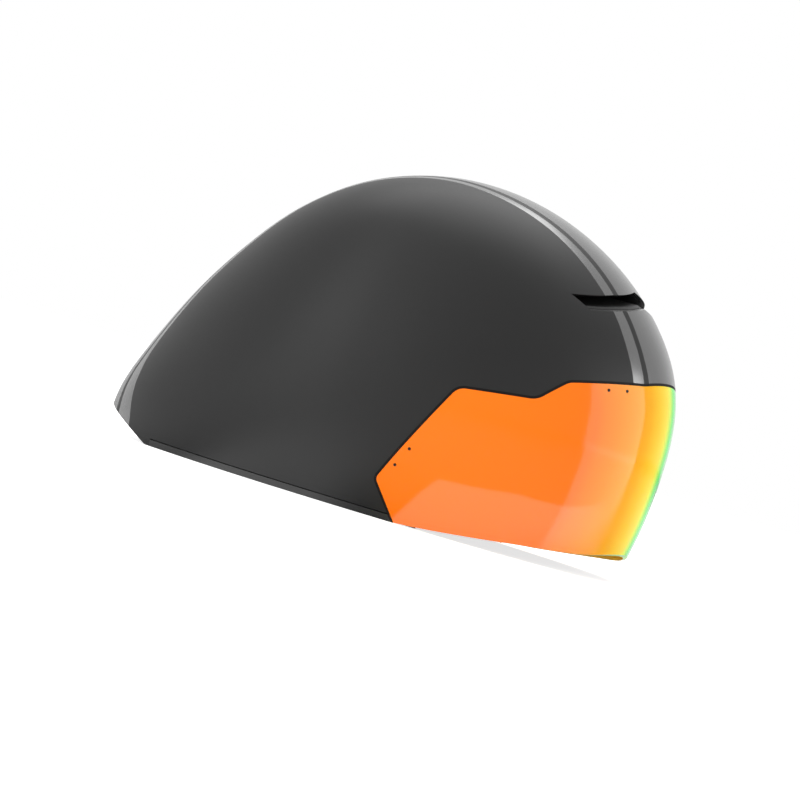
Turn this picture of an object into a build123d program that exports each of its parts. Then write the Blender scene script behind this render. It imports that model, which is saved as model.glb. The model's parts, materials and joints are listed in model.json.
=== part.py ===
from build123d import *
import os
import numpy as np

# Aero time trial helmet. +X forward, +Y the wearer's left, +Z up, rim on z = 0, x = 0 halfway along.

# Overall form of the outer skin
half_length = 166.5
half_width = 99.0
height = 200.0
overrun = 5.0

# Columns of the skin from rim to crown: front, rear and side reach, place of the widest point
rise_shares = [0, .125, .25, .375, .5, .625, .75, .85, .925, .975, 1]
front_shares = [.943, .976, .994, 1.0, .988, .937, .826, .688, .532, .366, .132]
rear_shares = [1.012, .991, .937, .865, .781, .676, .550, .411, .261, .093, -.132]
side_shares = [.874, .949, .990, 1.0, .990, .949, .869, .753, .581, .359, 0]
widest_shares = [.042, .042, .042, .048, .054, .066, .078, .090, .102, .114, .132]
taper_shares = [.28, .28, .28, .28, .26, .22, .16, .10, .05, .02, 0]
fullness_shares = [.20, .20, .20, .20, .18, .14, .09, .05, .02, 0, 0]
section_count = 15
points_round = 24

# Layers of the wall, each as a depth below the outer skin
shell_wall = 2.0
layer_gap = 0.3
frame_depth = 3.8
frame_wall = 1.6
holder_wall = 1.1

# Visor opening, a side-view outline in shares of half length and height
visor_edge_shares = [(.467, -.20), (.2147, .1075), (.4165, .422), (.6694, .451), (.7436, .5206),
                     (.929, .5695), (.973, .5975)]
visor_far_share = 1.2
visor_radii = [5.0, 10.0, 8.0, 8.0, 6.0]
visor_bottom_shares = [(.305, 0), (.5076, .0155), (.6673, .0325), (.8138, .049), (.9345, .071),
                       (.969, .0862), (1.2, .19)]
seal_width = 1.2
seal_gap = 0.3
ledge_under_shell = 7.0
ledge_under_visor = 11.0
face_edge = 14.0

# Magnets and rivets: side-view places in shares of half length and height
magnet_place_shares = [(.879, .530), (.300, .186)]
rivet_place_shares = [((.8577, .5243), (.901, .5357)), ((.318, .213), (.282, .159))]
magnet_radius = 3.5
holder_length = 19.0
holder_width = 9.0
rivet_radius = 0.6
rivet_head_radius = 0.9
rivet_head_rise = 0.3
rivet_head_taper = 30
rivet_seat = 0.1
fit_gap = 0.1

# Front air slot, a front-view half outline in shares of half width and height
slot_shares = [(0, .814), (.327, .7855), (.591, .755), (.540, .726), (.301, .751), (0, .7745)]
duct_wall = 1.0
duct_gap = 0.2

# Lower rim band and the cut under the tail
band_height = 3.6
groove = 0.6
floor_wall = 1.6
tail_start_share = -.7237
tail_slope_share = .394

# Space for the head
head_half_length = 104.0
head_half_width = 83.0
head_top = 178.0
head_centre = 24.0
head_rise_shares = [0, .22, .45, .62, .76, .87, .945, .985]
head_length_shares = [.962, .990, 1, .990, .913, .760, .558, .327]
head_width_shares = [.855, .964, 1, .988, .916, .759, .554, .325]

# Planes where the blocks of the foam liner are bonded
bond_rear = -62.0
bond_high = 156.0

# Comfort pads
pad_wall = 7.5
pad_crown = 2.5
brow_low = 108.0
brow_high = 126.0
brow_half_span = 62.0
crown_pad_length = 104.0
crown_pad_width = 26.0
crown_pad_side = 26.0
side_pad_length = 62.0
side_pad_height = 24.0
side_pad_centre = 84.0
side_pad_forward = 4.0

# Rear fit cradle
yoke_wall = 3.0
yoke_low = 20.0
yoke_high = 44.0
yoke_end = -36.0
yoke_half_length = 104.0
yoke_half_width = 78.0
arm_wall = 1.6
arm_low = 25.0
arm_high = 37.0
arm_side = 67.8
arm_rear = -58.0
arm_bend = -8.0
arm_set = 22.0
arm_front = 38.0
arm_front_side = 73.0
arm_pin = 31.0
arm_pin_radius = 2.0
arm_pin_head_radius = 4.5
arm_pin_head = 1.5
plug_radius = 4.0
plug_length = 9.0
sleeve_rear = -46.0
sleeve_front = -32.0
sleeve_wall = 1.8
slide_gap = 0.3
relief = 8.0
relief_high = 50.0
bay_rear = -116.0
bay_front = -70.0
bay_half = 26.0
bay_high = 54.0
pocket_gap = 1.0
lace_width = 1.0
dial_radius = 17.0
dial_depth = 8.0
dial_wall = 2.0
hub_radius = 4.5
boss_radius = 15.0
boss_depth = 4.5
base_wall = 2.0
grip_wall = 1.5
grip_ribs = 24
rib_radius = 1.0
spool_radius = 6.0
spool_length = 3.0
spring_inner = 7.0
spring_outer = 10.0
spring_wall = 0.8
dial_screw_radius = 1.6
dial_screw_head = 3.2
running_gap = 0.05
occipital_inner = 6.0
occipital_outer = 30.0
occipital_wall = 5.0
occipital_round = 1.5

# Webbing, divider, lever and buckle, all on edge inside the rim
web_wall = 1.2
web_low = 2.0
web_high = 17.0
divider_rear = -4.0
divider_front = 16.0
divider_in = 49.0
divider_out = 55.0
divider_height = 19.0
chin_side = 50.6
leg_side = 53.4
anchor_half = 8.0
anchor_deep = 11.5
anchor_low = 2.4
anchor_high = 18.5
front_anchor = 40.0
front_anchor_side = 68.0
rear_anchor = -28.0
rear_anchor_side = 60.0
leg_radius = 5.0
turn_front = 38.0
turn_rear = -45.0
turn_rear_right = -40.0
left_run = 30.0
right_run = -26.0
turn_radius = 9.0
lever_length = 14.0
lever_wall = 1.6
lever_barrel = 2.0
lever_pin_radius = 1.0
lever_end_gap = 0.3
lever_low = 3.5
lever_high = 15.5
buckle_rear = -26.0
buckle_mid = -4.0
buckle_front = 12.0
buckle_half = 4.0
buckle_height = 19.0
tongue_length = 10.0
tongue_half = 2.2
buckle_magnet_radius = 3.0
buckle_magnet_wall = 1.5
chin_pad_rear = -25.0
chin_pad_front = 15.0
chin_pad_wall = 3.2
chin_pad_low = 0.5
chin_pad_high = 18.5
chin_pad_round = 2.4
keeper_length = 6.0
keeper_wall = 1.2
keeper_rear = -38.0


def column(shares):
    """Natural cubic spline through a column of shares, along the skin from rim (0) to crown (1)."""
    place = 1 - np.sqrt(1 - np.array(rise_shares, dtype=float))
    value = np.array(shares, dtype=float)
    gap = np.diff(place)
    count = len(place)
    system = np.eye(count)
    right = np.zeros(count)
    for i in range(1, count - 1):
        system[i, i - 1:i + 2] = gap[i - 1], 2 * (gap[i - 1] + gap[i]), gap[i]
        right[i] = 6 * ((value[i + 1] - value[i]) / gap[i] - (value[i] - value[i - 1]) / gap[i - 1])
    bend = np.linalg.solve(system, right)

    def at(along):
        i = int(np.clip(np.searchsorted(place, along) - 1, 0, count - 2))
        before = place[i + 1] - along
        after = along - place[i]
        cubic = (bend[i] * before ** 3 + bend[i + 1] * after ** 3) / (6 * gap[i])
        low = (value[i] / gap[i] - bend[i] * gap[i] / 6) * before
        high = (value[i + 1] / gap[i] - bend[i + 1] * gap[i] / 6) * after
        return cubic + low + high

    return at


front_at = column(front_shares)
rear_at = column(rear_shares)
side_at = column(side_shares)
widest_at = column(widest_shares)
taper_at = column(taper_shares)
fullness_at = column(fullness_shares)


def skin_point(along, turn, depth=0.0):
    """A point of the skin: along it from rim 0 to crown 1, turn 0 in front and +90 degrees left."""
    level = 1 - (1 - along) ** 2
    draw_in = depth * np.sqrt(1 - level ** 2)
    widest = half_length * widest_at(along)
    front = half_length * front_at(along) - draw_in
    rear = -half_length * rear_at(along) + draw_in
    side = half_width * side_at(along) - draw_in
    c = np.cos(turn)
    if c >= 0:
        x = widest + (front - widest) * c
        y = side * np.sin(turn) * (1 + fullness_at(along) * c ** 2)
    else:
        x = widest + (widest - rear) * c
        y = side * np.sin(turn) * (1 - taper_at(along) * c ** 2)
    return Vector(x, y, level * (height - depth))


def dome(depth):
    """The solid under the skin drawn in by a depth: a loft of level sections up to the crown point."""
    with BuildPart() as form:
        for i in range(section_count):
            along = i / section_count
            points = [skin_point(along, 2 * np.pi * j / points_round, depth) for j in range(points_round)]
            with BuildSketch(Plane.XY.offset(points[0].Z)):
                with BuildLine():
                    Spline(*[(p.X, p.Y) for p in points], periodic=True)
                make_face()
        faces = form.pending_faces
        form.pending_faces = []
        loft(sections=[*faces, Vertex(*skin_point(1, 0, depth))])
    return form.part


def skin_plane(x_share, z_share, side, depth):
    """A plane on the skin at a side-view place, x forward along the skin and z outwards."""
    along = 1 - np.sqrt(1 - z_share)
    x = half_length * x_share
    widest = half_length * widest_at(along)
    turn = side * np.arccos((x - widest) / (half_length * front_at(along) - widest))
    small = 1e-4
    across = skin_point(along, turn + small, 0) - skin_point(along, turn - small, 0)
    up = skin_point(along + small, turn, 0) - skin_point(along - small, turn, 0)
    outward = across.cross(up).normalized()
    return Plane(origin=skin_point(along, turn, 0) - outward * depth, x_dir=across, z_dir=outward)


def head_space(depth):
    """The space for the head, drawn in by a depth: a loft of level ellipses up to its top point."""
    with BuildPart() as form:
        for rise, length, width in zip(head_rise_shares, head_length_shares, head_width_shares):
            with BuildSketch(Plane.XY.offset(rise * (head_top - depth))):
                with Locations((head_centre, 0)):
                    half = (head_half_length * length - depth, head_half_width * width - depth)
                    Ellipse(*half, rotation=180)
        faces = form.pending_faces
        form.pending_faces = []
        loft(sections=[*faces, Vertex(head_centre, 0, head_top - depth)])
    return form.part


def visor_outline(inset):
    """Side view of the visor opening, moved in by an inset; open space ahead of it is included."""
    with BuildSketch(Plane.XZ) as outline:
        with BuildLine():
            points = [(x * half_length, z * height) for x, z in visor_edge_shares]
            edge = FilletPolyline(*points, radius=visor_radii)
            far = visor_far_share * half_length
            Polyline(edge @ 1, (far, (edge @ 1).Y), (far, (edge @ 0).Y), edge @ 0)
        make_face()
        if inset:
            offset(amount=-inset, kind=Kind.INTERSECTION)
    return outline.sketch


reach = half_width + overrun
far = visor_far_share * half_length
tail_start = tail_start_share * half_length
tail_step = tail_start + band_height
liner_depth = shell_wall + layer_gap
under_frame_depth = frame_depth + frame_wall + layer_gap
bay_inset = -ledge_under_shell - layer_gap


def base_outline(lift, step_lift=0.0):
    """Side view of all that lies above the base line, which rises under the tail."""
    rear = (-far, lift + tail_slope_share * (tail_start + far))
    points = [rear, (tail_start, lift), (tail_step, lift), (tail_step, lift + step_lift)]
    points = points + [(far, lift + step_lift), (far, height + overrun), (-far, height + overrun)]
    if not step_lift:
        points.remove((tail_step, lift))
        points.remove((tail_step, lift))
    with BuildSketch(Plane.XZ) as outline:
        with BuildLine():
            Polyline(*points, close=True)
        make_face()
    return outline.sketch


def slot_outline(inset):
    """Front view of the air slot, moved in by an inset."""
    half = [(y * half_width, z * height) for y, z in slot_shares]
    other = [(-y, z) for y, z in reversed(half[1:-1])]
    with BuildSketch(Plane.YZ.offset(head_centre)) as outline:
        with BuildLine():
            Polyline(*half, *other, close=True)
        make_face()
        if inset:
            offset(amount=-inset, kind=Kind.INTERSECTION)
    return outline.sketch


def bar(low, high):
    """A plain block between two corners, kept out of any open block."""
    size = [h - l for l, h in zip(low, high)]
    return Pos(*low) * Box(*size, align=Align.MIN, mode=Mode.PRIVATE)


def ribbon(points, radius):
    """Webbing on edge: a level centre line thickened and raised to the width of the web."""
    with BuildPart() as web:
        with BuildSketch(Plane.XY.offset(web_low)) as section:
            with BuildLine() as line:
                FilletPolyline(*points, radius=radius)
            trace(line_width=web_wall)
        extrude(amount=web_high - web_low)
    return web.part


# Solid forms at each depth, and the skin's own wall
skin = dome(0)
core = dome(shell_wall)
liner_form = dome(liner_depth)
holder_core = dome(liner_depth + holder_wall)
frame_form = dome(frame_depth)
frame_core = dome(frame_depth + frame_wall)
under_frame = dome(under_frame_depth)
head_form = head_space(0)
relief_form = head_space(-relief)
os.makedirs("parts", exist_ok=True)

with BuildPart() as skin_wall:
    add(skin)
    add(core, mode=Mode.SUBTRACT)

# Outer shell: one moulded skin with the visor opening, the air slot and the rim line
with BuildPart() as outer_shell:
    add(skin_wall.part)
    extrude(base_outline(0, band_height + groove), amount=reach, both=True, mode=Mode.INTERSECT)
    extrude(visor_outline(0), amount=reach, both=True, mode=Mode.SUBTRACT)
    extrude(slot_outline(0), amount=far, mode=Mode.SUBTRACT)
outer_shell.part.label = "outer_shell"
export_step(outer_shell.part, "parts/outer_shell.step")

# Space where the visor frame sits, behind the skin on both sides of the visor edge
with BuildPart() as frame_bay:
    add(core)
    extrude(visor_outline(bay_inset), amount=reach, both=True, mode=Mode.INTERSECT)
with BuildPart() as frame_pocket:
    extrude(visor_outline(bay_inset), amount=reach, both=True)
    add(under_frame, mode=Mode.SUBTRACT)

# Room for the rear cradle, its arms and its dial
with BuildPart() as cradle_bay:
    add(relief_form)
    low = (-far, -reach, 0)
    add(bar(low, (head_centre + yoke_end, reach, relief_high)), mode=Mode.INTERSECT)
    add(bar((bay_rear, -bay_half, 0), (bay_front, bay_half, bay_high)))
    for side in (-1, 1):
        near = side * (arm_side - sleeve_wall - relief)
        away = side * (arm_side + arm_wall / 2 + slide_gap + sleeve_wall + pocket_gap)
        low = (arm_rear - pocket_gap, min(near, away), yoke_low - pocket_gap)
        add(bar(low, (arm_bend, max(near, away), yoke_high + pocket_gap)))

# Lower rim: a band flush with the skin and a flat floor under the liner
with BuildPart() as lower_rim:
    add(skin)
    add(bar((tail_step, -reach, 0), (far, reach, band_height)), mode=Mode.INTERSECT)
    add(core & bar((-far, -reach, floor_wall), (far, reach, height)), mode=Mode.SUBTRACT)
    extrude(visor_outline(0), amount=reach, both=True, mode=Mode.SUBTRACT)
    add(frame_bay.part, mode=Mode.SUBTRACT)
    add(head_form, mode=Mode.SUBTRACT)
    add(bar((bay_rear, -bay_half, -overrun), (bay_front, bay_half, bay_high)), mode=Mode.SUBTRACT)
lower_rim.part.label = "lower_rim"
export_step(lower_rim.part, "parts/lower_rim.step")

# Floor under the tail, inside the skin
with BuildPart() as tail_floor:
    add(liner_form)
    extrude(base_outline(0), amount=reach, both=True, mode=Mode.INTERSECT)
    extrude(base_outline(floor_wall), amount=reach, both=True, mode=Mode.SUBTRACT)
    add(bar((-far, -reach, -overrun), (tail_step - fit_gap, reach, height)), mode=Mode.INTERSECT)
tail_floor.part.label = "tail_floor"
export_step(tail_floor.part, "parts/tail_floor.step")

# Air duct from the slot to the head space
with BuildPart() as intake_duct:
    extrude(slot_outline(duct_gap), amount=far)
    extrude(slot_outline(duct_gap + duct_wall), amount=far, mode=Mode.SUBTRACT)
    add(liner_form, mode=Mode.INTERSECT)
    add(head_form, mode=Mode.SUBTRACT)
intake_duct.part.label = "intake_duct"
export_step(intake_duct.part, "parts/intake_duct.step")

# Foam liner, bonded from four blocks: two sides, the tail and the crown
with BuildPart() as foam:
    add(liner_form)
    extrude(base_outline(floor_wall), amount=reach, both=True, mode=Mode.INTERSECT)
    add(frame_pocket.part, mode=Mode.SUBTRACT)
    extrude(visor_outline(face_edge), amount=reach, both=True, mode=Mode.SUBTRACT)
    add(head_form, mode=Mode.SUBTRACT)
    extrude(slot_outline(0), amount=far, mode=Mode.SUBTRACT)
    add(cradle_bay.part, mode=Mode.SUBTRACT)
    for side in (-1, 1):
        for x, y in ((front_anchor, front_anchor_side), (rear_anchor, rear_anchor_side)):
            edges = sorted((side * (y - anchor_deep), side * (y + anchor_deep + fit_gap)))
            low = (x - anchor_half - fit_gap, edges[0], 0)
            add(bar(low, (x + anchor_half + fit_gap, edges[1], anchor_high + fit_gap)), mode=Mode.SUBTRACT)
        with BuildSketch(Plane((arm_pin, 0, (arm_low + arm_high) / 2), z_dir=(0, side, 0))):
            Circle(plug_radius + fit_gap)
        extrude(amount=arm_front_side + arm_wall / 2 + plug_length + fit_gap, mode=Mode.SUBTRACT)
        for x_share, z_share in magnet_place_shares:
            with BuildSketch(skin_plane(x_share, z_share, side, under_frame_depth)):
                Circle(magnet_radius + fit_gap)
            extrude(amount=under_frame_depth, mode=Mode.SUBTRACT)

seam = layer_gap / 2
foam_blocks = {
    "eps_left_side": ((bond_rear + seam, seam, 0), (far, reach, bond_high - seam)),
    "eps_right_side": ((bond_rear + seam, -reach, 0), (far, -seam, bond_high - seam)),
    "eps_tail": ((-far, -reach, 0), (bond_rear - seam, reach, height)),
    "eps_crown": ((bond_rear + seam, -reach, bond_high + seam), (far, reach, height)),
}
for name, (low, high) in foam_blocks.items():
    with BuildPart() as block:
        add(foam.part)
        add(bar(low, high), mode=Mode.INTERSECT)
    block.part.label = name
    export_step(block.part, f"parts/{name}.step")

# Visor frame: a moulded ledge behind the visor edge that carries the shell magnets
with BuildPart() as visor_frame:
    add(frame_form)
    extrude(visor_outline(-ledge_under_shell), amount=reach, both=True, mode=Mode.INTERSECT)
    extrude(visor_outline(ledge_under_visor), amount=reach, both=True, mode=Mode.SUBTRACT)
    add(bar((-far, -reach, layer_gap), (far, reach, height)), mode=Mode.INTERSECT)
    add(frame_core, mode=Mode.SUBTRACT)
    for side in (-1, 1):
        for x_share, z_share in magnet_place_shares:
            with BuildSketch(skin_plane(x_share, z_share, side, frame_depth + 2 * frame_wall)):
                Circle(magnet_radius + fit_gap)
            extrude(amount=3 * frame_wall, mode=Mode.SUBTRACT)
visor_frame.part.label = "visor_frame"
export_step(visor_frame.part, "parts/visor_frame.step")

# Magnets of the shell, flush with the back of the frame
with BuildPart() as frame_magnets:
    for side in (-1, 1):
        for x_share, z_share in magnet_place_shares:
            with BuildSketch(skin_plane(x_share, z_share, side, frame_depth + frame_wall)):
                Circle(magnet_radius)
            extrude(amount=frame_wall - fit_gap)
frame_magnets.part.label = "frame_magnets"
export_step(frame_magnets.part, "parts/frame_magnets.step")

# Soft bead that closes the gap round the visor
with BuildPart() as visor_gasket:
    add(skin_wall.part)
    extrude(visor_outline(0), amount=reach, both=True, mode=Mode.INTERSECT)
    extrude(visor_outline(seal_width), amount=reach, both=True, mode=Mode.SUBTRACT)
visor_gasket.part.label = "visor_gasket"
export_step(visor_gasket.part, "parts/visor_gasket.step")

# Visor lens with its rivet holes
with BuildSketch(Plane.XZ) as lens_view:
    with BuildLine():
        low_points = [(x * half_length, z * height) for x, z in visor_bottom_shares]
        low_edge = Spline(*low_points)
        Polyline(low_edge @ 1, (far, height), (-far, height), (-far, 0), low_edge @ 0)
    make_face()
with BuildPart() as visor_lens:
    add(skin_wall.part)
    extrude(visor_outline(seal_width + seal_gap), amount=reach, both=True, mode=Mode.INTERSECT)
    extrude(lens_view.sketch, amount=reach, both=True, mode=Mode.INTERSECT)
    for side in (-1, 1):
        for pair in rivet_place_shares:
            for x_share, z_share in pair:
                with BuildSketch(skin_plane(x_share, z_share, side, 2 * shell_wall)):
                    Circle(rivet_radius + fit_gap)
                extrude(amount=3 * shell_wall, mode=Mode.SUBTRACT)
visor_lens.part.label = "visor_lens"
export_step(visor_lens.part, "parts/visor_lens.step")


def holder_plane(place, pair, side, depth):
    """A plane at a magnet's place, turned so that x runs from one rivet of the pair to the other."""
    spot = skin_plane(*place, side, depth)
    ends = [skin_plane(*rivet, side, depth).origin for rivet in pair]
    return Plane(origin=spot.origin, x_dir=ends[1] - ends[0], z_dir=spot.z_dir)


# Holder plates behind the lens, each with a magnet between two rivets
with BuildPart() as visor_magnet_holders:
    for side in (-1, 1):
        for place, pair in zip(magnet_place_shares, rivet_place_shares):
            with BuildSketch(holder_plane(place, pair, side, frame_depth + frame_wall)):
                SlotOverall(holder_length, holder_width)
            extrude(amount=frame_depth + frame_wall)
    add(liner_form, mode=Mode.INTERSECT)
    add(holder_core, mode=Mode.SUBTRACT)
    for side in (-1, 1):
        for place, pair in zip(magnet_place_shares, rivet_place_shares):
            with BuildSketch(skin_plane(*place, side, frame_depth + frame_wall)):
                Circle(magnet_radius + fit_gap)
            extrude(amount=frame_depth + frame_wall, mode=Mode.SUBTRACT)
            for rivet in pair:
                with BuildSketch(skin_plane(*rivet, side, frame_depth + frame_wall)):
                    Circle(rivet_radius + fit_gap)
                extrude(amount=frame_depth + frame_wall, mode=Mode.SUBTRACT)
visor_magnet_holders.part.label = "visor_magnet_holders"
export_step(visor_magnet_holders.part, "parts/visor_magnet_holders.step")

with BuildPart() as visor_magnets:
    for side in (-1, 1):
        for place in magnet_place_shares:
            with BuildSketch(skin_plane(*place, side, liner_depth + holder_wall)):
                Circle(magnet_radius)
            extrude(amount=holder_wall)
visor_magnets.part.label = "visor_magnets"
export_step(visor_magnets.part, "parts/visor_magnets.step")

with BuildPart() as visor_rivets:
    for side in (-1, 1):
        for pair in rivet_place_shares:
            for rivet in pair:
                with BuildSketch(skin_plane(*rivet, side, liner_depth + holder_wall)):
                    Circle(rivet_radius)
                extrude(amount=liner_depth + holder_wall)
                with BuildSketch(skin_plane(*rivet, side, -rivet_seat)):
                    Circle(rivet_head_radius)
                extrude(amount=rivet_head_rise, taper=rivet_head_taper)
visor_rivets.part.label = "visor_rivets"
export_step(visor_rivets.part, "parts/visor_rivets.step")

# Comfort pads: cushions on the wall of the head space, crowned inwards
pad_skin = head_space(layer_gap)
pad_face = head_space(pad_wall)


def cushion(outline, length, both):
    """A pad cut from the head space's wall by an outline, its inner edges rounded to a crown."""
    with BuildPart() as pad:
        extrude(outline, amount=length, both=both)
        add(pad_skin, mode=Mode.INTERSECT)
        add(pad_face, mode=Mode.SUBTRACT)
        inner = pad.faces().sort_by(SortBy.AREA)[-2]
        fillet(inner.edges(), radius=pad_crown)
    return pad.part


with BuildSketch(Plane.YZ.offset(head_centre)) as brow_view:
    with Locations((0, (brow_low + brow_high) / 2)):
        RectangleRounded(2 * brow_half_span, brow_high - brow_low, (brow_high - brow_low) / 3)
brow = cushion(brow_view.sketch, far, False)
brow.label = "brow_pad"
export_step(brow, "parts/brow_pad.step")

for side, name in ((1, "left"), (-1, "right")):
    with BuildSketch(Plane.XY.offset(head_top / 2)) as crown_view:
        with Locations((head_centre, side * crown_pad_side)):
            SlotOverall(crown_pad_length, crown_pad_width)
    crown = cushion(crown_view.sketch, height, False)
    crown.label = f"{name}_crown_pad"
    export_step(crown, f"parts/{name}_crown_pad.step")

    temple_place = (head_centre + side_pad_forward, 0, side_pad_centre)
    with BuildSketch(Plane(temple_place, x_dir=(1, 0, 0), z_dir=(0, side, 0))) as temple_view:
        SlotOverall(side_pad_length, side_pad_height)
    temple = cushion(temple_view.sketch, reach, False)
    temple.label = f"{name}_side_pad"
    export_step(temple, f"parts/{name}_side_pad.step")


def ellipse_band(inner, outer, low, high, front):
    """A level band between two ellipses round the head, kept behind a front plane."""
    with BuildPart() as band:
        with BuildSketch(Plane.XY.offset(low)):
            with Locations((head_centre, 0)):
                Ellipse(yoke_half_length + outer, yoke_half_width + outer)
                Ellipse(yoke_half_length + inner, yoke_half_width + inner, mode=Mode.SUBTRACT)
        extrude(amount=high - low)
        add(bar((-far, -reach, low), (front, reach, high)), mode=Mode.INTERSECT)
    return band.part


# Rear fit cradle: a yoke behind the head whose two sleeves slide on the side arms
arm_middle = (arm_low + arm_high) / 2
yoke_middle = (yoke_low + yoke_high) / 2
yoke_back = head_centre - yoke_half_length - yoke_wall
boss_back = yoke_back - boss_depth
base_back = boss_back - base_wall
lace_middle = yoke_wall / 2
sleeve_half = arm_wall / 2 + slide_gap + sleeve_wall
dial_axis = Plane((0, 0, yoke_middle), x_dir=(0, 1, 0), z_dir=(-1, 0, 0))
lace_inner = lace_middle - lace_width / 2
lace_low = yoke_middle - lace_width / 2
groove_outer = lace_inner + lace_width + fit_gap
groove_high = lace_low + lace_width + fit_gap
lace_groove = ellipse_band(lace_inner - fit_gap, groove_outer, lace_low - fit_gap, groove_high, sleeve_rear)
with BuildPart() as cradle_yoke:
    add(ellipse_band(0, yoke_wall, yoke_low, yoke_high, yoke_end))
    with BuildSketch(dial_axis.offset(-yoke_back - yoke_wall)):
        Circle(boss_radius)
    extrude(amount=boss_depth + yoke_wall)
    with BuildSketch(Plane.XY.offset(yoke_low)):
        with Locations((head_centre, 0)):
            Ellipse(yoke_half_length, yoke_half_width)
    extrude(amount=yoke_high - yoke_low, mode=Mode.SUBTRACT)
    for side in (-1, 1):
        edges = sorted((side * (arm_side - sleeve_half), side * (arm_side + sleeve_half)))
        low = (sleeve_rear, edges[0], arm_low - slide_gap - sleeve_wall)
        add(bar(low, (sleeve_front, edges[1], arm_high + slide_gap + sleeve_wall)))
    for side in (-1, 1):
        slot_half = arm_wall / 2 + slide_gap
        low = (arm_rear, side * arm_side - slot_half, arm_low - slide_gap)
        add(bar(low, (arm_bend, side * arm_side + slot_half, arm_high + slide_gap)), mode=Mode.SUBTRACT)
    add(lace_groove, mode=Mode.SUBTRACT)
    with BuildSketch(dial_axis.offset(-boss_back)):
        Circle(spool_radius + slide_gap)
    extrude(amount=-(spool_length + slide_gap), mode=Mode.SUBTRACT)
    with BuildSketch(dial_axis.offset(-boss_back)):
        Circle(dial_screw_radius)
    extrude(amount=-boss_depth, mode=Mode.SUBTRACT)
cradle_yoke.part.label = "cradle_yoke"
export_step(cradle_yoke.part, "parts/cradle_yoke.step")

# Lace of the dial, in its groove inside the yoke
fit_lace = ellipse_band(lace_inner, lace_inner + lace_width, lace_low, lace_low + lace_width, sleeve_rear)
fit_lace.label = "fit_lace"
export_step(fit_lace, "parts/fit_lace.step")

# Base plate of the dial with the seat of its click spring
with BuildPart() as dial_base:
    with BuildSketch(dial_axis.offset(-boss_back)):
        Circle(boss_radius)
        Circle(dial_screw_radius + slide_gap, mode=Mode.SUBTRACT)
    extrude(amount=base_wall)
    with BuildSketch(dial_axis.offset(-base_back)):
        Circle(spring_outer + fit_gap)
        Circle(spring_inner - fit_gap, mode=Mode.SUBTRACT)
    extrude(amount=-spring_wall, mode=Mode.SUBTRACT)
dial_base.part.label = "dial_base"
export_step(dial_base.part, "parts/dial_base.step")

with BuildPart() as click_spring:
    with BuildSketch(dial_axis.offset(-base_back)):
        Circle(spring_outer)
        Circle(spring_inner, mode=Mode.SUBTRACT)
    extrude(amount=-spring_wall)
click_spring.part.label = "click_spring"
export_step(click_spring.part, "parts/click_spring.step")

# Dial: knob with its hub, rubber grip and lace spool, all turning on the screw
dial_front = base_back - slide_gap
with BuildPart() as dial_knob:
    with BuildSketch(dial_axis.offset(-dial_front)):
        Circle(dial_radius)
        Circle(dial_screw_radius + running_gap, mode=Mode.SUBTRACT)
    extrude(amount=dial_depth)
    with BuildSketch(dial_axis.offset(-dial_front)):
        Circle(dial_radius - dial_wall)
        Circle(hub_radius, mode=Mode.SUBTRACT)
    extrude(amount=dial_depth - dial_wall, mode=Mode.SUBTRACT)
    with BuildSketch(dial_axis.offset(-dial_front + dial_depth)):
        Circle(dial_screw_head + slide_gap)
    extrude(amount=-dial_wall / 2, mode=Mode.SUBTRACT)
dial_knob.part.label = "dial_knob"
export_step(dial_knob.part, "parts/dial_knob.step")

with BuildPart() as dial_grip:
    with BuildSketch(dial_axis.offset(-dial_front + dial_wall / 2)):
        Circle(dial_radius + grip_wall)
        with PolarLocations(dial_radius + grip_wall, grip_ribs):
            Circle(rib_radius)
        Circle(dial_radius, mode=Mode.SUBTRACT)
    extrude(amount=dial_depth - dial_wall)
dial_grip.part.label = "dial_grip"
export_step(dial_grip.part, "parts/dial_grip.step")

with BuildPart() as lace_spool:
    with BuildSketch(dial_axis.offset(-boss_back)):
        Circle(spool_radius)
        Circle(dial_screw_radius + running_gap, mode=Mode.SUBTRACT)
    extrude(amount=-spool_length)
    with BuildSketch(dial_axis.offset(-boss_back)):
        Circle(dial_screw_radius + slide_gap - running_gap)
        Circle(dial_screw_radius + running_gap, mode=Mode.SUBTRACT)
    extrude(amount=base_wall + slide_gap)
lace_spool.part.label = "lace_spool"
export_step(lace_spool.part, "parts/lace_spool.step")

with BuildPart() as dial_screw:
    with BuildSketch(dial_axis.offset(-boss_back)):
        Circle(dial_screw_radius)
    extrude(amount=-boss_depth)
    with BuildSketch(dial_axis.offset(-boss_back)):
        Circle(dial_screw_radius)
    extrude(amount=boss_back - dial_front + dial_depth - dial_wall / 2 + running_gap)
    extrude_from = -dial_front + dial_depth - dial_wall / 2 + running_gap
    with BuildSketch(dial_axis.offset(extrude_from)):
        Circle(dial_screw_head)
    extrude(amount=dial_wall / 2)
dial_screw.part.label = "dial_screw"
export_step(dial_screw.part, "parts/dial_screw.step")

# Occipital pads on the inner face of the yoke
with BuildPart() as occipital_pads:
    add(ellipse_band(-layer_gap - occipital_wall, -layer_gap, yoke_low, yoke_high, yoke_end))
    for side in (-1, 1):
        edges = sorted((side * occipital_outer, side * reach))
        add(bar((-far, edges[0], 0), (far, edges[1], height)), mode=Mode.SUBTRACT)
    add(bar((-far, -occipital_inner, 0), (far, occipital_inner, height)), mode=Mode.SUBTRACT)
    fillet(occipital_pads.edges(), radius=occipital_round)
occipital_pads.part.label = "occipital_pads"
export_step(occipital_pads.part, "parts/occipital_pads.step")

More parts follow.
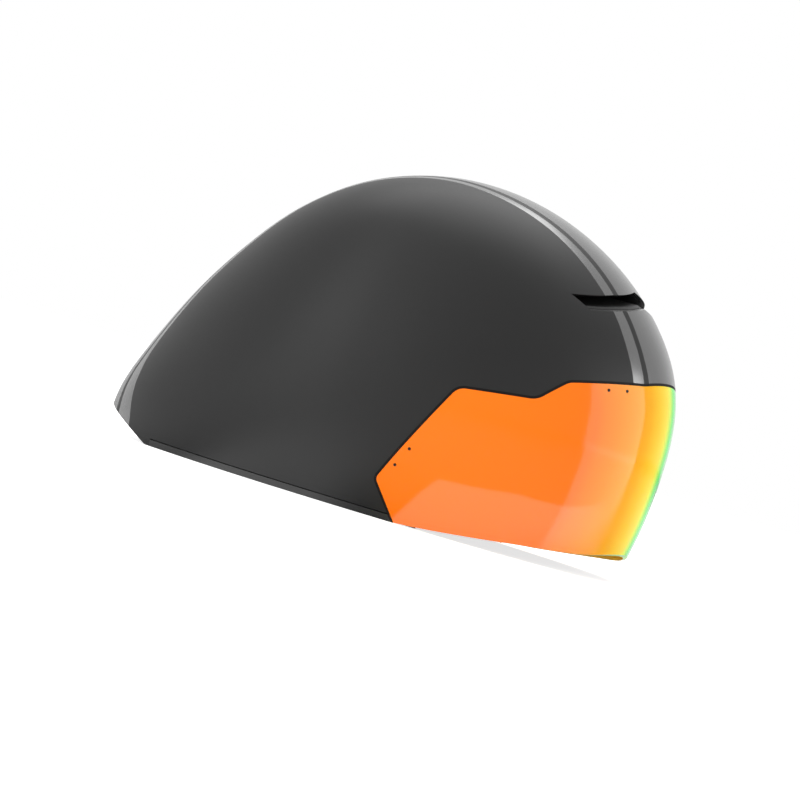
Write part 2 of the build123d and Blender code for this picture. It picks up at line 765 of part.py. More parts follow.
# Side arms, each fixed to the liner by a screw in a bonded plug
for side, name in ((1, "left"), (-1, "right")):
    arm_points = [(arm_rear, arm_side), (arm_bend, arm_side)]
    arm_points = arm_points + [(arm_set, arm_front_side), (arm_front, arm_front_side)]
    pin_plane = Plane((arm_pin, 0, arm_middle), z_dir=(0, side, 0))
    with BuildPart() as cradle_arm:
        with BuildSketch(Plane.XY.offset(arm_low)):
            with BuildLine():
                FilletPolyline(*[(x, side * y) for x, y in arm_points], radius=arm_high - arm_low)
            trace(line_width=arm_wall)
        extrude(amount=arm_high - arm_low)
        with BuildSketch(pin_plane):
            Circle(arm_pin_radius + fit_gap)
        extrude(amount=reach, mode=Mode.SUBTRACT)
    cradle_arm.part.label = f"{name}_cradle_arm"
    export_step(cradle_arm.part, f"parts/{name}_cradle_arm.step")

arm_face = arm_front_side + arm_wall / 2
with BuildPart() as arm_plugs:
    for side in (-1, 1):
        with BuildSketch(Plane((arm_pin, side * arm_face, arm_middle), z_dir=(0, side, 0))):
            Circle(plug_radius)
            Circle(arm_pin_radius, mode=Mode.SUBTRACT)
        extrude(amount=plug_length)
arm_plugs.part.label = "arm_plugs"
export_step(arm_plugs.part, "parts/arm_plugs.step")

with BuildPart() as arm_screws:
    for side in (-1, 1):
        with BuildSketch(Plane((arm_pin, side * (arm_face - arm_wall), arm_middle), z_dir=(0, side, 0))):
            Circle(arm_pin_radius)
        extrude(amount=arm_wall + plug_length - fit_gap)
        with BuildSketch(Plane((arm_pin, side * (arm_face - arm_wall), arm_middle), z_dir=(0, -side, 0))):
            Circle(arm_pin_head_radius)
        extrude(amount=arm_pin_head, taper=rivet_head_taper)
arm_screws.part.label = "arm_screws"
export_step(arm_screws.part, "parts/arm_screws.step")

# Strap anchors bonded into the liner, with the webbing that leaves them
with BuildPart() as strap_anchors:
    for side in (-1, 1):
        for x, y in ((front_anchor, front_anchor_side), (rear_anchor, rear_anchor_side)):
            edges = sorted((side * y, side * (y + anchor_deep)))
            add(bar((x - anchor_half, edges[0], anchor_low), (x + anchor_half, edges[1], anchor_high)))
    fillet(strap_anchors.edges().filter_by(Axis.Z), radius=web_wall)
strap_anchors.part.label = "strap_anchors"
export_step(strap_anchors.part, "parts/strap_anchors.step")

chin_routes = {
    "left": [(divider_front, chin_side), (turn_front, chin_side), (turn_front, left_run),
             (turn_rear, left_run), (turn_rear, 0), (buckle_rear, 0)],
    "right": [(divider_rear, -chin_side), (turn_rear_right, -chin_side), (turn_rear_right, right_run),
              (turn_front, right_run), (turn_front, 0), (0, 0)],
}
for side, name in ((1, "left"), (-1, "right")):
    leg = side * leg_side
    front_end = (front_anchor, side * front_anchor_side)
    front_leg = ribbon([(divider_front, leg), (front_anchor, leg), front_end], leg_radius)
    front_leg.label = f"{name}_front_strap"
    export_step(front_leg, f"parts/{name}_front_strap.step")
    rear_end = (rear_anchor, side * rear_anchor_side)
    rear_leg = ribbon([(divider_rear, leg), (rear_anchor, leg), rear_end], leg_radius)
    rear_leg.label = f"{name}_rear_strap"
    export_step(rear_leg, f"parts/{name}_rear_strap.step")
    chin_strap = ribbon(chin_routes[name], turn_radius)
    chin_strap.label = f"{name}_chin_strap"
    export_step(chin_strap, f"parts/{name}_chin_strap.step")

    # Strap divider with its ears, pin and locking lever
    pin_x = divider_rear + lever_barrel + lever_pin_radius
    pin_y = divider_in - lever_barrel - layer_gap
    ear = lever_barrel + lever_end_gap
    with BuildPart() as divider:
        edges = sorted((side * divider_in, side * divider_out))
        add(bar((divider_rear, edges[0], 0), (divider_front, edges[1], divider_height)))
        fillet(divider.edges().filter_by(Axis.Z), radius=lever_pin_radius)
        edges = sorted((side * (pin_y - lever_barrel), side * (divider_in + lever_barrel)))
        for low in (lever_low - ear, lever_high + lever_end_gap):
            high = low + lever_barrel
            add(bar((pin_x - lever_barrel, edges[0], low), (pin_x + lever_barrel, edges[1], high)))
        with BuildSketch(Plane.XY):
            with Locations((pin_x, side * pin_y)):
                Circle(lever_pin_radius + running_gap)
        extrude(amount=divider_height, mode=Mode.SUBTRACT)
    divider.part.label = f"{name}_divider"
    export_step(divider.part, f"parts/{name}_divider.step")

    with BuildPart() as lever_pin:
        with BuildSketch(Plane.XY.offset(lever_low - ear)):
            with Locations((pin_x, side * pin_y)):
                Circle(lever_pin_radius)
        extrude(amount=lever_high - lever_low + 2 * ear)
    lever_pin.part.label = f"{name}_lever_pin"
    export_step(lever_pin.part, f"parts/{name}_lever_pin.step")

    with BuildPart() as lever:
        with BuildSketch(Plane.XY.offset(lever_low)):
            with Locations((pin_x, side * pin_y)):
                Circle(lever_barrel)
                with Locations((0, -side * lever_barrel / 2)):
                    Rectangle(lever_length, lever_barrel, align=(Align.MIN, Align.CENTER))
                Circle(lever_pin_radius + running_gap, mode=Mode.SUBTRACT)
        extrude(amount=lever_high - lever_low)
    lever.part.label = f"{name}_lever"
    export_step(lever.part, f"parts/{name}_lever.step")

# Buckle: the moving half runs along its webbing, and its two prongs enter the fixed half
web_slot = web_wall / 2 + slide_gap
tongue_low = (web_low + web_high) / 2 - (web_high - web_low) / 3
tongue_high = (web_low + web_high) / 2 + (web_high - web_low) / 3
with BuildPart() as buckle_female:
    add(bar((buckle_rear, -buckle_half, 0), (buckle_mid - fit_gap, buckle_half, buckle_height)))
    fillet(buckle_female.edges().filter_by(Axis.X), radius=web_wall)
    socket_end = buckle_mid - tongue_length - slide_gap
    socket_half = tongue_half + slide_gap
    low = (socket_end, -socket_half, tongue_low - slide_gap)
    add(bar(low, (buckle_mid, socket_half, tongue_high + slide_gap)), mode=Mode.SUBTRACT)
    with BuildSketch(Plane.YZ.offset(socket_end)):
        with Locations((0, (web_low + web_high) / 2)):
            Circle(buckle_magnet_radius + fit_gap)
    extrude(amount=-buckle_magnet_wall, mode=Mode.SUBTRACT)
buckle_female.part.label = "buckle_female"
export_step(buckle_female.part, "parts/buckle_female.step")

with BuildPart() as buckle_magnet:
    with BuildSketch(Plane.YZ.offset(socket_end)):
        with Locations((0, (web_low + web_high) / 2)):
            Circle(buckle_magnet_radius)
    extrude(amount=-buckle_magnet_wall)
buckle_magnet.part.label = "buckle_magnet"
export_step(buckle_magnet.part, "parts/buckle_magnet.step")

with BuildPart() as buckle_male:
    add(bar((buckle_mid, -buckle_half, 0), (buckle_front, buckle_half, buckle_height)))
    fillet(buckle_male.edges().filter_by(Axis.X), radius=web_wall)
    low = (buckle_mid - tongue_length, -tongue_half, tongue_low)
    add(bar(low, (buckle_mid, tongue_half, tongue_high)))
    low = (-far, -web_slot, web_low - slide_gap)
    add(bar(low, (far, web_slot, web_high + slide_gap)), mode=Mode.SUBTRACT)
buckle_male.part.label = "buckle_male"
export_step(buckle_male.part, "parts/buckle_male.step")

# Chin pad and strap keepers, sleeves round the webbing
with BuildPart() as chin_pad:
    low = (chin_pad_rear, left_run - chin_pad_wall, chin_pad_low)
    add(bar(low, (chin_pad_front, left_run + chin_pad_wall, chin_pad_high)))
    fillet(chin_pad.edges(), radius=chin_pad_round)
    low = (chin_pad_rear, left_run - web_slot, web_low - slide_gap)
    add(bar(low, (chin_pad_front, left_run + web_slot, web_high + slide_gap)), mode=Mode.SUBTRACT)
chin_pad.part.label = "chin_pad"
export_step(chin_pad.part, "parts/chin_pad.step")

for side, name in ((1, "left"), (-1, "right")):
    y = 0 if side > 0 else right_run
    x = keeper_rear if side > 0 else divider_front
    with BuildPart() as keeper:
        low = (x, y - web_slot - keeper_wall, web_low - slide_gap - keeper_wall)
        add(bar(low, (x + keeper_length, y + web_slot + keeper_wall, web_high + slide_gap + keeper_wall)))
        low = (x, y - web_slot, web_low - slide_gap)
        add(bar(low, (x + keeper_length, y + web_slot, web_high + slide_gap)), mode=Mode.SUBTRACT)
    keeper.part.label = f"{name}_strap_keeper"
    export_step(keeper.part, f"parts/{name}_strap_keeper.step")
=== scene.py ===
import json
import bmesh
import bpy
import numpy as np
from mathutils import Matrix, Vector


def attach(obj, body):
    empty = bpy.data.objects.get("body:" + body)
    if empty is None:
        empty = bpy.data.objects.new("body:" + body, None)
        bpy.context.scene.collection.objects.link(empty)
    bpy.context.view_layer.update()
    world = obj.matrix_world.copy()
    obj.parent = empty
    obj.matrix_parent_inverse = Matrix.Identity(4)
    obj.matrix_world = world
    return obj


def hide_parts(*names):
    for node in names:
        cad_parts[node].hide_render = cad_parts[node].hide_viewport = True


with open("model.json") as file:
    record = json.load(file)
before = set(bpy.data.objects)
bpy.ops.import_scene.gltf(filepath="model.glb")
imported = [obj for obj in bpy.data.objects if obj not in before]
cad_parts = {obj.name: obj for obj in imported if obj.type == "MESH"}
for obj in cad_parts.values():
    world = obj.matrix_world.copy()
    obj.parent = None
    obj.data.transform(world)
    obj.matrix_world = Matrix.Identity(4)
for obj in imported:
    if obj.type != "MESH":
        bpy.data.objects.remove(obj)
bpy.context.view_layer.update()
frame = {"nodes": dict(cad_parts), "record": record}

# Camera: a long lens 2.5 m away at the helmet's own level, 20 degrees ahead of its right side. It is
# rolled, so that the helmet stands nose down in the frame, and aimed a little below its middle.
MM = 0.001
camera_distance = 2.5
turn, roll = np.radians(20.0), np.radians(16.15)
aim_left, aim_down = 7.44 * MM, 33.42 * MM
middle = Vector((3, 0, 100)) * MM
back = Vector((np.sin(turn), -np.cos(turn), 0))
level_right = Vector((np.cos(turn), np.sin(turn), 0))
right = level_right * np.cos(roll) + Vector((0, 0, 1)) * np.sin(roll)
up = back.cross(right)
stand = middle + back * camera_distance
look_back = (stand - (middle - right * aim_left - up * aim_down)).normalized()
look_right = up.cross(look_back).normalized()
look_axes = Matrix((look_right, look_back.cross(look_right), look_back)).transposed().to_4x4()
camera_data = bpy.data.cameras.new("camera")
camera_data.lens, camera_data.sensor_width = 193.5, 36.0
camera = bpy.data.objects.new("camera", camera_data)
camera.matrix_world = Matrix.Translation(stand) @ look_axes
bpy.context.scene.collection.objects.link(camera)
bpy.context.scene.camera = camera


# Outer shell: one moulded skin with a satin grey lacquer and two lighter stripes over the crown.
# It is bonded to the liner and open for the visor and the air slot.
HALF_LENGTH, HALF_WIDTH, HEIGHT = 166.5 * MM, 99.0 * MM, 200.0 * MM
RISE = [0, .125, .25, .375, .5, .625, .75, .85, .925, .975, 1]
SKIN = {
    "front": [.943, .976, .994, 1.0, .988, .937, .826, .688, .532, .366, .132],
    "rear": [1.012, .991, .937, .865, .781, .676, .550, .411, .261, .093, -.132],
    "side": [.874, .949, .990, 1.0, .990, .949, .869, .753, .581, .359, 0],
    "widest": [.042, .042, .042, .048, .054, .066, .078, .090, .102, .114, .132],
    "taper": [.28, .28, .28, .28, .26, .22, .16, .10, .05, .02, 0],
    "fullness": [.20, .20, .20, .20, .18, .14, .09, .05, .02, 0, 0],
}


def column(values, along):
    """Natural cubic spline through a column of shares, where along is 0 at the rim and 1 at the crown.

    The bends at the knots solve one tridiagonal system, and each span is the cubic between two bends.
    """
    place, value = 1 - np.sqrt(1 - np.array(RISE)), np.array(values, dtype=float)
    gap, count = np.diff(place), len(place)
    system, right_side = np.eye(count), np.zeros(count)
    for i in range(1, count - 1):
        system[i, i - 1:i + 2] = gap[i - 1], 2 * (gap[i - 1] + gap[i]), gap[i]
        right_side[i] = 6 * ((value[i + 1] - value[i]) / gap[i] - (value[i] - value[i - 1]) / gap[i - 1])
    bend = np.linalg.solve(system, right_side)
    i = np.clip(np.searchsorted(place, along) - 1, 0, count - 2)
    before, after, step = place[i + 1] - along, along - place[i], gap[i]
    cubic = (bend[i] * before ** 3 + bend[i + 1] * after ** 3) / (6 * step)
    return cubic + (value[i] / step - bend[i] * step / 6) * before \
        + (value[i + 1] / step - bend[i + 1] * step / 6) * after


def level_sizes(along):
    """A level's widest place, its reach to the front and to the rear from there, and its half width.

    At each share of the height in RISE, SKIN gives the front, rear and widest place as shares of the
    half length and the side as a share of the half width.
    """
    widest = HALF_LENGTH * column(SKIN["widest"], along)
    front = HALF_LENGTH * column(SKIN["front"], along) - widest
    rear = HALF_LENGTH * column(SKIN["rear"], along) + widest
    return widest, front, rear, HALF_WIDTH * column(SKIN["side"], along)


def skin(along, around):
    """Points of the skin, where along runs from rim to crown and around is an angle from the brow.

    The height is 1 - (1 - along)^2 of the whole. Each level is two half ovals that meet at the widest
    place. A share of the side, times the squared cosine, fills the front one or tapers the rear one.
    """
    level = 1 - (1 - along) ** 2
    widest, front, rear, side = level_sizes(along)
    forward = np.cos(around)
    bulge = np.where(forward > 0, column(SKIN["fullness"], along), -column(SKIN["taper"], along))
    x = widest + np.where(forward > 0, front, rear) * forward
    return np.stack([x, side * np.sin(around) * (1 + bulge * forward ** 2), level * HEIGHT], axis=-1)


def skin_normals(points):
    """Outward direction of the skin at points near it.

    It is the cross product of a small step around and a small step along, at each point's own level
    and angle.
    """
    small, thinnest, shortest, top = 1e-3, 1e-5, 1e-12, .9999
    along = 1 - np.sqrt(np.clip(1 - points[:, 2] / HEIGHT, small ** 2, 1))
    widest, front, rear, side = level_sizes(along)
    reach = np.where(points[:, 0] > widest, front, rear)
    around = np.arctan2(points[:, 1] / np.maximum(side, thinnest),
                        (points[:, 0] - widest) / np.maximum(reach, thinnest))
    across = skin(along, around + small) - skin(along, around - small)
    rise = skin(np.minimum(along + small, top), around) - skin(np.maximum(along - small, 0), around)
    normal = np.cross(across, rise)
    length = np.linalg.norm(normal, axis=1, keepdims=True)
    return normal / np.maximum(length, shortest)


def smooth_copy(node, name, on_skin=True):
    """A merged copy of a CAD node, shaded smooth.

    Faces that lie along the skin take the skin's own direction, and other faces are smoothed by angle.
    On a skin piece, faces that don't face outwards take the second material.
    """
    merge_gap, sharp_degrees, along_skin, outward = 1e-6, 30, .97, .5
    mesh = frame["nodes"][node].data.copy()
    mesh.materials.clear()
    form = bmesh.new()
    form.from_mesh(mesh)
    bmesh.ops.remove_doubles(form, verts=form.verts, dist=merge_gap)
    form.to_mesh(mesh)
    form.free()
    piece = bpy.data.objects.new(name, mesh)
    bpy.context.scene.collection.objects.link(piece)
    mesh.shade_smooth()
    mesh.set_sharp_from_angle(angle=np.radians(sharp_degrees))
    if on_skin:
        count = len(mesh.loops)
        corner, face = np.empty(count, int), np.empty((len(mesh.polygons), 3))
        mesh.loops.foreach_get("vertex_index", corner)
        mesh.polygons.foreach_get("normal", face.ravel())
        place = np.empty((len(mesh.vertices), 3))
        mesh.vertices.foreach_get("co", place.ravel())
        sizes = np.empty(len(mesh.polygons), int)
        mesh.polygons.foreach_get("loop_total", sizes)
        face = np.repeat(face, sizes, axis=0)
        rounded = np.empty((count, 3))
        mesh.corner_normals.foreach_get("vector", rounded.ravel())
        out = skin_normals(place)[corner]
        lean = np.sum(face * out, axis=1, keepdims=True)
        normal = np.where(np.abs(lean) > along_skin, out * np.sign(lean), rounded)
        mesh.normals_split_custom_set(normal.tolist())
        first = np.cumsum(sizes) - sizes
        mesh.polygons.foreach_set("material_index", (lean[first, 0] < outward).astype(np.int32))
    return piece


def linear(hex_colour, share=1.0):
    """A share of an sRGB hex colour as a linear RGBA value.

    The sRGB curve is a straight line near black and a power of 2.4 above it.
    """
    srgb = np.array([int(hex_colour[i:i + 2], 16) / 255 for i in (0, 2, 4)])
    rgb = np.where(srgb <= .04045, srgb / 12.92, ((srgb + .055) / 1.055) ** 2.4)
    return (*(share * rgb), 1.0)


def add_node(tree, kind, links=None, **settings):
    """Adds a node. The links map its inputs to values or to other nodes' outputs."""
    made = tree.nodes.new(kind)
    for key, value in settings.items():
        setattr(made, key, value)
    for key, value in (links or {}).items():
        if isinstance(value, bpy.types.NodeSocket):
            tree.links.new(value, made.inputs[key])
        else:
            made.inputs[key].default_value = value
    return made


def new_material(name):
    """An empty node material with its output, its principled shader and object coordinates."""
    material = bpy.data.materials.new(name)
    material.use_nodes = True
    tree = material.node_tree
    tree.nodes.clear()
    shader = add_node(tree, "ShaderNodeBsdfPrincipled")
    output = add_node(tree, "ShaderNodeOutputMaterial")
    tree.links.new(shader.outputs[0], output.inputs[0])
    place = add_node(tree, "ShaderNodeTexCoord").outputs["Object"]
    return material, tree, shader, place


def hold(piece, node, material):
    """Finishes a piece that stands for a CAD node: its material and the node's body."""
    record = frame["record"]
    piece.data.materials.append(material)
    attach(piece, next(body for body, nodes in record["behaviour"]["bodies"].items() if node in nodes))
    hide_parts(node)


def add_grain(tree, shader, place, size_mm, strength, distance_mm):
    """Fine grain of the surface: noise of a real size, as a bump.

    Lacquer and spark-eroded moulds leave a grain of about a tenth of a millimetre. It is drawn a few
    times coarser, so that it shows.
    """
    noise = add_node(tree, "ShaderNodeTexNoise", {"Vector": place, "Scale": 1000 / size_mm, "Detail": 3.0})
    bump = add_node(tree, "ShaderNodeBump", {"Height": noise.outputs["Fac"], "Strength": strength,
                                             "Distance": distance_mm * MM})
    tree.links.new(bump.outputs["Normal"], shader.inputs["Normal"])


def lacquer_material():
    """Satin lacquer on moulded polycarbonate: an even dark grey with a soft wide shine.

    Bands of silver flake run along the crown: one in the middle and one outside each of its dark
    border lines. A band's edge is a distance from the middle plane, drawn against the run from tail to
    brow, which is the forward place plus .8 of the height, counted up to 60 mm.
    """
    run_start, run_end, side_end = -170, 230, 50
    material, tree, shader, place = new_material("satin_lacquer_polycarbonate")
    axes = add_node(tree, "ShaderNodeSeparateXYZ", {"Vector": place})
    side = add_node(tree, "ShaderNodeMath", {0: axes.outputs["Y"]}, operation="ABSOLUTE").outputs[0]
    low = add_node(tree, "ShaderNodeMath", {0: axes.outputs["Z"], 1: 60 * MM},
                   operation="MINIMUM").outputs[0]
    run = add_node(tree, "ShaderNodeMath", {0: low, 1: .8, 2: axes.outputs["X"]},
                   operation="MULTIPLY_ADD").outputs[0]
    length = add_node(tree, "ShaderNodeMapRange", {"Value": run, "From Min": run_start * MM,
                                                   "From Max": run_end * MM}).outputs[0]

    def inside(name, places, soft_mm=.15):
        """1 nearer the middle than a band's edge, whose places are runs and distances in mm."""
        curve = add_node(tree, "ShaderNodeFloatCurve", {"Value": length}, name=name)
        points = curve.mapping.curves[0].points
        spots = [((at - run_start) / (run_end - run_start), out / side_end) for at, out in places]
        points[0].location, points[1].location = spots[:2]
        for spot in spots[2:]:
            points.new(*spot)
        curve.mapping.update()
        edge = add_node(tree, "ShaderNodeMath", {0: curve.outputs[0], 1: side_end * MM},
                        operation="MULTIPLY").outputs[0]
        gap = add_node(tree, "ShaderNodeMath", {0: edge, 1: side}, operation="SUBTRACT").outputs[0]
        return add_node(tree, "ShaderNodeMapRange", {"Value": gap, "From Min": -soft_mm * MM,
                                                     "From Max": soft_mm * MM}).outputs[0]

    centre = inside("line_in", [(-168, 24.6), (-142, 24.8), (-120, 24), (-60, 22.6), (20, 23.4), (95, 24.7),
                                (128, 25), (154, 26), (181, 27.5), (196, 28.4), (203, 27.4), (215, 26)])
    rim_in = inside("line_out", [(-168, 29), (-142, 28.6), (-120, 26.9), (-60, 25.2), (20, 28), (95, 30.4),
                                 (128, 30.4), (154, 31), (181, 31.9), (196, 32.5), (203, 31.6), (215, 30)])
    rim_out = inside("edge_out", [(-168, 44), (-130, 38.6), (-112, 34.1), (-97, 30.4), (-60, 29.5),
                                  (20, 33.2), (91, 36.1), (124, 36.9), (155, 38.4), (177, 39.2),
                                  (190, 40.4), (200, 39.9), (215, 38)])
    outer = add_node(tree, "ShaderNodeMath", {0: rim_out, 1: rim_in}, operation="SUBTRACT").outputs[0]
    band = add_node(tree, "ShaderNodeMath", {0: centre, 1: outer}, operation="ADD",
                    use_clamp=True).outputs[0]
    cloud_mm = 60
    cloud = add_node(tree, "ShaderNodeTexNoise", {"Vector": place, "Scale": 1000 / cloud_mm, "Detail": 1.0})
    grey = add_node(tree, "ShaderNodeMix", {"Factor": cloud.outputs["Fac"], 6: linear("1C1C1C"),
                                            7: linear("202020")}, data_type="RGBA")
    paint = add_node(tree, "ShaderNodeMix", {"Factor": band, 6: grey.outputs[2], 7: linear("6E6E6E")},
                     data_type="RGBA")
    flake = add_node(tree, "ShaderNodeMath", {0: band, 1: .8}, operation="MULTIPLY").outputs[0]
    dullness = add_node(tree, "ShaderNodeMapRange", {"Value": band, "To Min": .48,
                                                     "To Max": .24}).outputs[0]
    tree.links.new(paint.outputs[2], shader.inputs["Base Color"])
    tree.links.new(flake, shader.inputs["Metallic"])
    tree.links.new(dullness, shader.inputs["Roughness"])
    shader.inputs["Specular IOR Level"].default_value = .2
    add_grain(tree, shader, place, size_mm=.6, strength=.08, distance_mm=.05)
    return material


def moulded_material(name, colour, roughness=.5, grain_mm=.5, strength=.12):
    """Moulded plastic: one colour with slight clouding and the fine eroded grain of its mould."""
    cloud_mm = 25
    material, tree, shader, place = new_material(name)
    cloud = add_node(tree, "ShaderNodeTexNoise", {"Vector": place, "Scale": 1000 / cloud_mm, "Detail": 2.0})
    tint = add_node(tree, "ShaderNodeMix", {"Factor": cloud.outputs["Fac"], 6: linear(colour, .82),
                                            7: linear(colour)}, data_type="RGBA")
    tree.links.new(tint.outputs[2], shader.inputs["Base Color"])
    shader.inputs["Roughness"].default_value = roughness
    shader.inputs["Specular IOR Level"].default_value = .3
    add_grain(tree, shader, place, grain_mm, strength, distance_mm=.04)
    return material


shell = smooth_copy("outer_shell", "outer_shell_skin")
hold(shell, "outer_shell", lacquer_material())
shell.data.materials.append(moulded_material("moulded_polycarbonate", "2C2C2C"))


# Lower rim and tail floor: moulded black-grey ABS with a fine spark-eroded grain, clipped and
# bonded under the shell, so a dark line parts them.
rim_abs = moulded_material("spark_grained_abs", "2E2E2E", roughness=.45)
for node in ("lower_rim", "tail_floor"):
    hold(smooth_copy(node, node + "_skin"), node, rim_abs)


# Visor: a moulded polycarbonate lens, held by magnets over the opening. Its outer face has a mirror
# coat of thin metal oxides, orange when seen square on and yellow to green when seen at a slant.
def mirror_material():
    """Mirror coat: a smooth gloss whose colour depends on the slant at which it is seen.

    The slant is 0 square on and 1 at the edge of view, and each stop gives a slant and its colour.
    """
    square_on, edge_of_view = "FF7806", "00DD40"
    stops = [(.09, "FF7806"), (.12, "FF8406"), (.22, "FF9706"), (.29, "FFA004"), (.38, "FFAE00"),
             (.43, "FFB600"), (.5, "FFC600"), (.57, "FFD300"), (.67, "FFE400"), (.72, "F0F400"),
             (.74, "D8F400"), (.81, "50EC04"), (.85, "08E400")]
    material, tree, shader, _ = new_material("mirror_coated_polycarbonate")
    slant = add_node(tree, "ShaderNodeLayerWeight", {"Blend": .5}).outputs["Facing"]
    ramp = add_node(tree, "ShaderNodeValToRGB", {"Fac": slant})
    shades = ramp.color_ramp.elements
    shades[0].color, shades[1].color = linear(square_on), linear(edge_of_view)
    for position, colour in stops:
        shades.new(position).color = linear(colour)
    tree.links.new(ramp.outputs["Color"], shader.inputs["Base Color"])
    shader.inputs["Roughness"].default_value = .1
    shader.inputs["Specular IOR Level"].default_value = .23
    return material


# Its bare inner face is amber and passes a little light, which glows in the lens's own shade.
visor = smooth_copy("visor_lens", "visor_lens_mirror")
hold(visor, "visor_lens", mirror_material())
amber = moulded_material("amber_polycarbonate", "FFB468", roughness=.12)
glow = amber.node_tree.nodes["Principled BSDF"].inputs
glow["Subsurface Weight"].default_value = 1.0
glow["Subsurface Radius"].default_value = (1.0, .7, .4)
glow["Subsurface Scale"].default_value = 15 * MM
visor.data.materials.append(amber)


# Bead round the visor: soft black extruded rubber, pressed onto the edge of the shell. It is matte
# and nearly black, so it parts the bright lens from the grey shell.
soft_rubber = moulded_material("extruded_rubber", "040404", roughness=.7, grain_mm=.3, strength=.1)
soft_rubber.node_tree.nodes["Principled BSDF"].inputs["Specular IOR Level"].default_value = .15
hold(smooth_copy("visor_gasket", "visor_gasket_bead"), "visor_gasket", soft_rubber)


# Comfort pads: open-cell foam in a brushed knit cover, heat-sealed round the edge and held to the
# liner by hook dots, so each swells towards the head and thins to its sealed edge.
def band_scale(pitch_mm):
    """Scale of a wave texture with diagonal bands, which repeat each .63 / scale of the axes' sum.

    500 / pitch sets them .73 of a pitch apart in space and .89 of a pitch apart on a flat map.
    """
    return 500 / pitch_mm


def knit_material(name, colour, pale, loop_mm):
    """Brushed knit: rows of small loops, paler on their tops, with a soft sheen.

    The loops are drawn about twice as coarse as the real ones, so that they show.
    """
    cloud_mm = 15
    material, tree, shader, place = new_material(name)
    rows = add_node(tree, "ShaderNodeTexWave", {"Vector": place, "Scale": band_scale(loop_mm),
                                                "Distortion": 1.5, "Detail": 1.0},
                    bands_direction="DIAGONAL")
    loops = add_node(tree, "ShaderNodeTexVoronoi", {"Vector": place, "Scale": 1000 / loop_mm})
    height = add_node(tree, "ShaderNodeMath", {0: rows.outputs["Fac"], 1: loops.outputs["Distance"]},
                      operation="MULTIPLY").outputs[0]
    cloud = add_node(tree, "ShaderNodeTexNoise", {"Vector": place, "Scale": 1000 / cloud_mm, "Detail": 2.0})
    nap = add_node(tree, "ShaderNodeMath", {0: height, 1: cloud.outputs["Fac"]},
                   operation="MULTIPLY").outputs[0]
    tint = add_node(tree, "ShaderNodeMix", {"Factor": nap, 6: linear(colour), 7: linear(pale)},
                    data_type="RGBA")
    bump = add_node(tree, "ShaderNodeBump", {"Height": height, "Strength": .5, "Distance": .3 * MM})
    tree.links.new(tint.outputs[2], shader.inputs["Base Color"])
    tree.links.new(bump.outputs["Normal"], shader.inputs["Normal"])
    shader.inputs["Roughness"].default_value = .95
    shader.inputs["Sheen Weight"].default_value = .3
    return material


def puffed_pad(node, name, voxel_mm=2.5, cap_mm=.9):
    """The pad's CAD form remeshed, drawn in by a cap and blown up as cloth by the air in it.

    Each point moves back out by no more than the cap, so the pad stays inside its own form.
    """
    air_pressure, cloth_frames, shortest = 4.0, 20, 1e-9
    scene = bpy.context.scene
    piece = smooth_copy(node, name, on_skin=False)
    piece.data.materials.clear()
    remesh = piece.modifiers.new("even", "REMESH")
    remesh.mode, remesh.voxel_size = "VOXEL", voxel_mm * MM
    bpy.context.view_layer.update()
    shaped = bpy.data.meshes.new_from_object(piece.evaluated_get(bpy.context.evaluated_depsgraph_get()))
    piece.modifiers.clear()
    piece.data = shaped
    count = len(shaped.vertices)
    start, outward = np.empty((count, 3)), np.empty((count, 3))
    shaped.vertices.foreach_get("co", start.ravel())
    shaped.vertices.foreach_get("normal", outward.ravel())
    start = start - outward * cap_mm * MM
    shaped.vertices.foreach_set("co", start.ravel())
    shaped.update()
    cloth = piece.modifiers.new("air", "CLOTH")
    cloth.settings.use_pressure, cloth.settings.uniform_pressure_force = True, air_pressure
    cloth.settings.effector_weights.gravity = 0
    cloth.collision_settings.use_collision = False
    for step in range(1, cloth_frames + 1):
        scene.frame_set(step)
    blown = piece.evaluated_get(bpy.context.evaluated_depsgraph_get())
    grown = np.empty((count, 3))
    blown.data.vertices.foreach_get("co", grown.ravel())
    piece.modifiers.clear()
    scene.frame_set(1)
    move = grown - start
    length = np.linalg.norm(move, axis=1, keepdims=True)
    start = start + move * np.minimum(1, cap_mm * MM / np.maximum(length, shortest))
    shaped.vertices.foreach_set("co", start.ravel())
    shaped.update()
    finer = piece.modifiers.new("finer", "SUBSURF")
    finer.levels = finer.render_levels = 1
    shaped.shade_smooth()
    return piece


brushed_knit = knit_material("brushed_polyester_knit", "0E0E0E", "2A2A2A", loop_mm=1.2)
for node in ("brow_pad", "left_crown_pad", "right_crown_pad", "left_side_pad", "right_side_pad",
             "occipital_pads", "chin_pad"):
    hold(puffed_pad(node, node + "_knit"), node, brushed_knit)


# Webbing: 15 mm polyester straps, woven in a twill with a thicker cord along each edge. They stand
# on edge inside the rim and run from the anchors to the dividers and on to the buckle.
def webbing_material():
    """Woven polyester: fine diagonal ribs across the strap, darker between the yarns."""
    rib_mm = 1.1
    material, tree, shader, _ = new_material("woven_polyester_webbing")
    flat = add_node(tree, "ShaderNodeTexCoord").outputs["UV"]
    weave = add_node(tree, "ShaderNodeTexWave", {"Vector": flat, "Scale": band_scale(rib_mm),
                                                 "Distortion": .3}, bands_direction="DIAGONAL")
    tint = add_node(tree, "ShaderNodeMix", {"Factor": weave.outputs["Fac"], 6: linear("0C0C0C"),
                                            7: linear("232323")}, data_type="RGBA")
    bump = add_node(tree, "ShaderNodeBump", {"Height": weave.outputs["Fac"], "Strength": .6,
                                             "Distance": .2 * MM})
    tree.links.new(tint.outputs[2], shader.inputs["Base Color"])
    tree.links.new(bump.outputs["Normal"], shader.inputs["Normal"])
    shader.inputs["Roughness"].default_value = .8
    shader.inputs["Sheen Weight"].default_value = .2
    return material


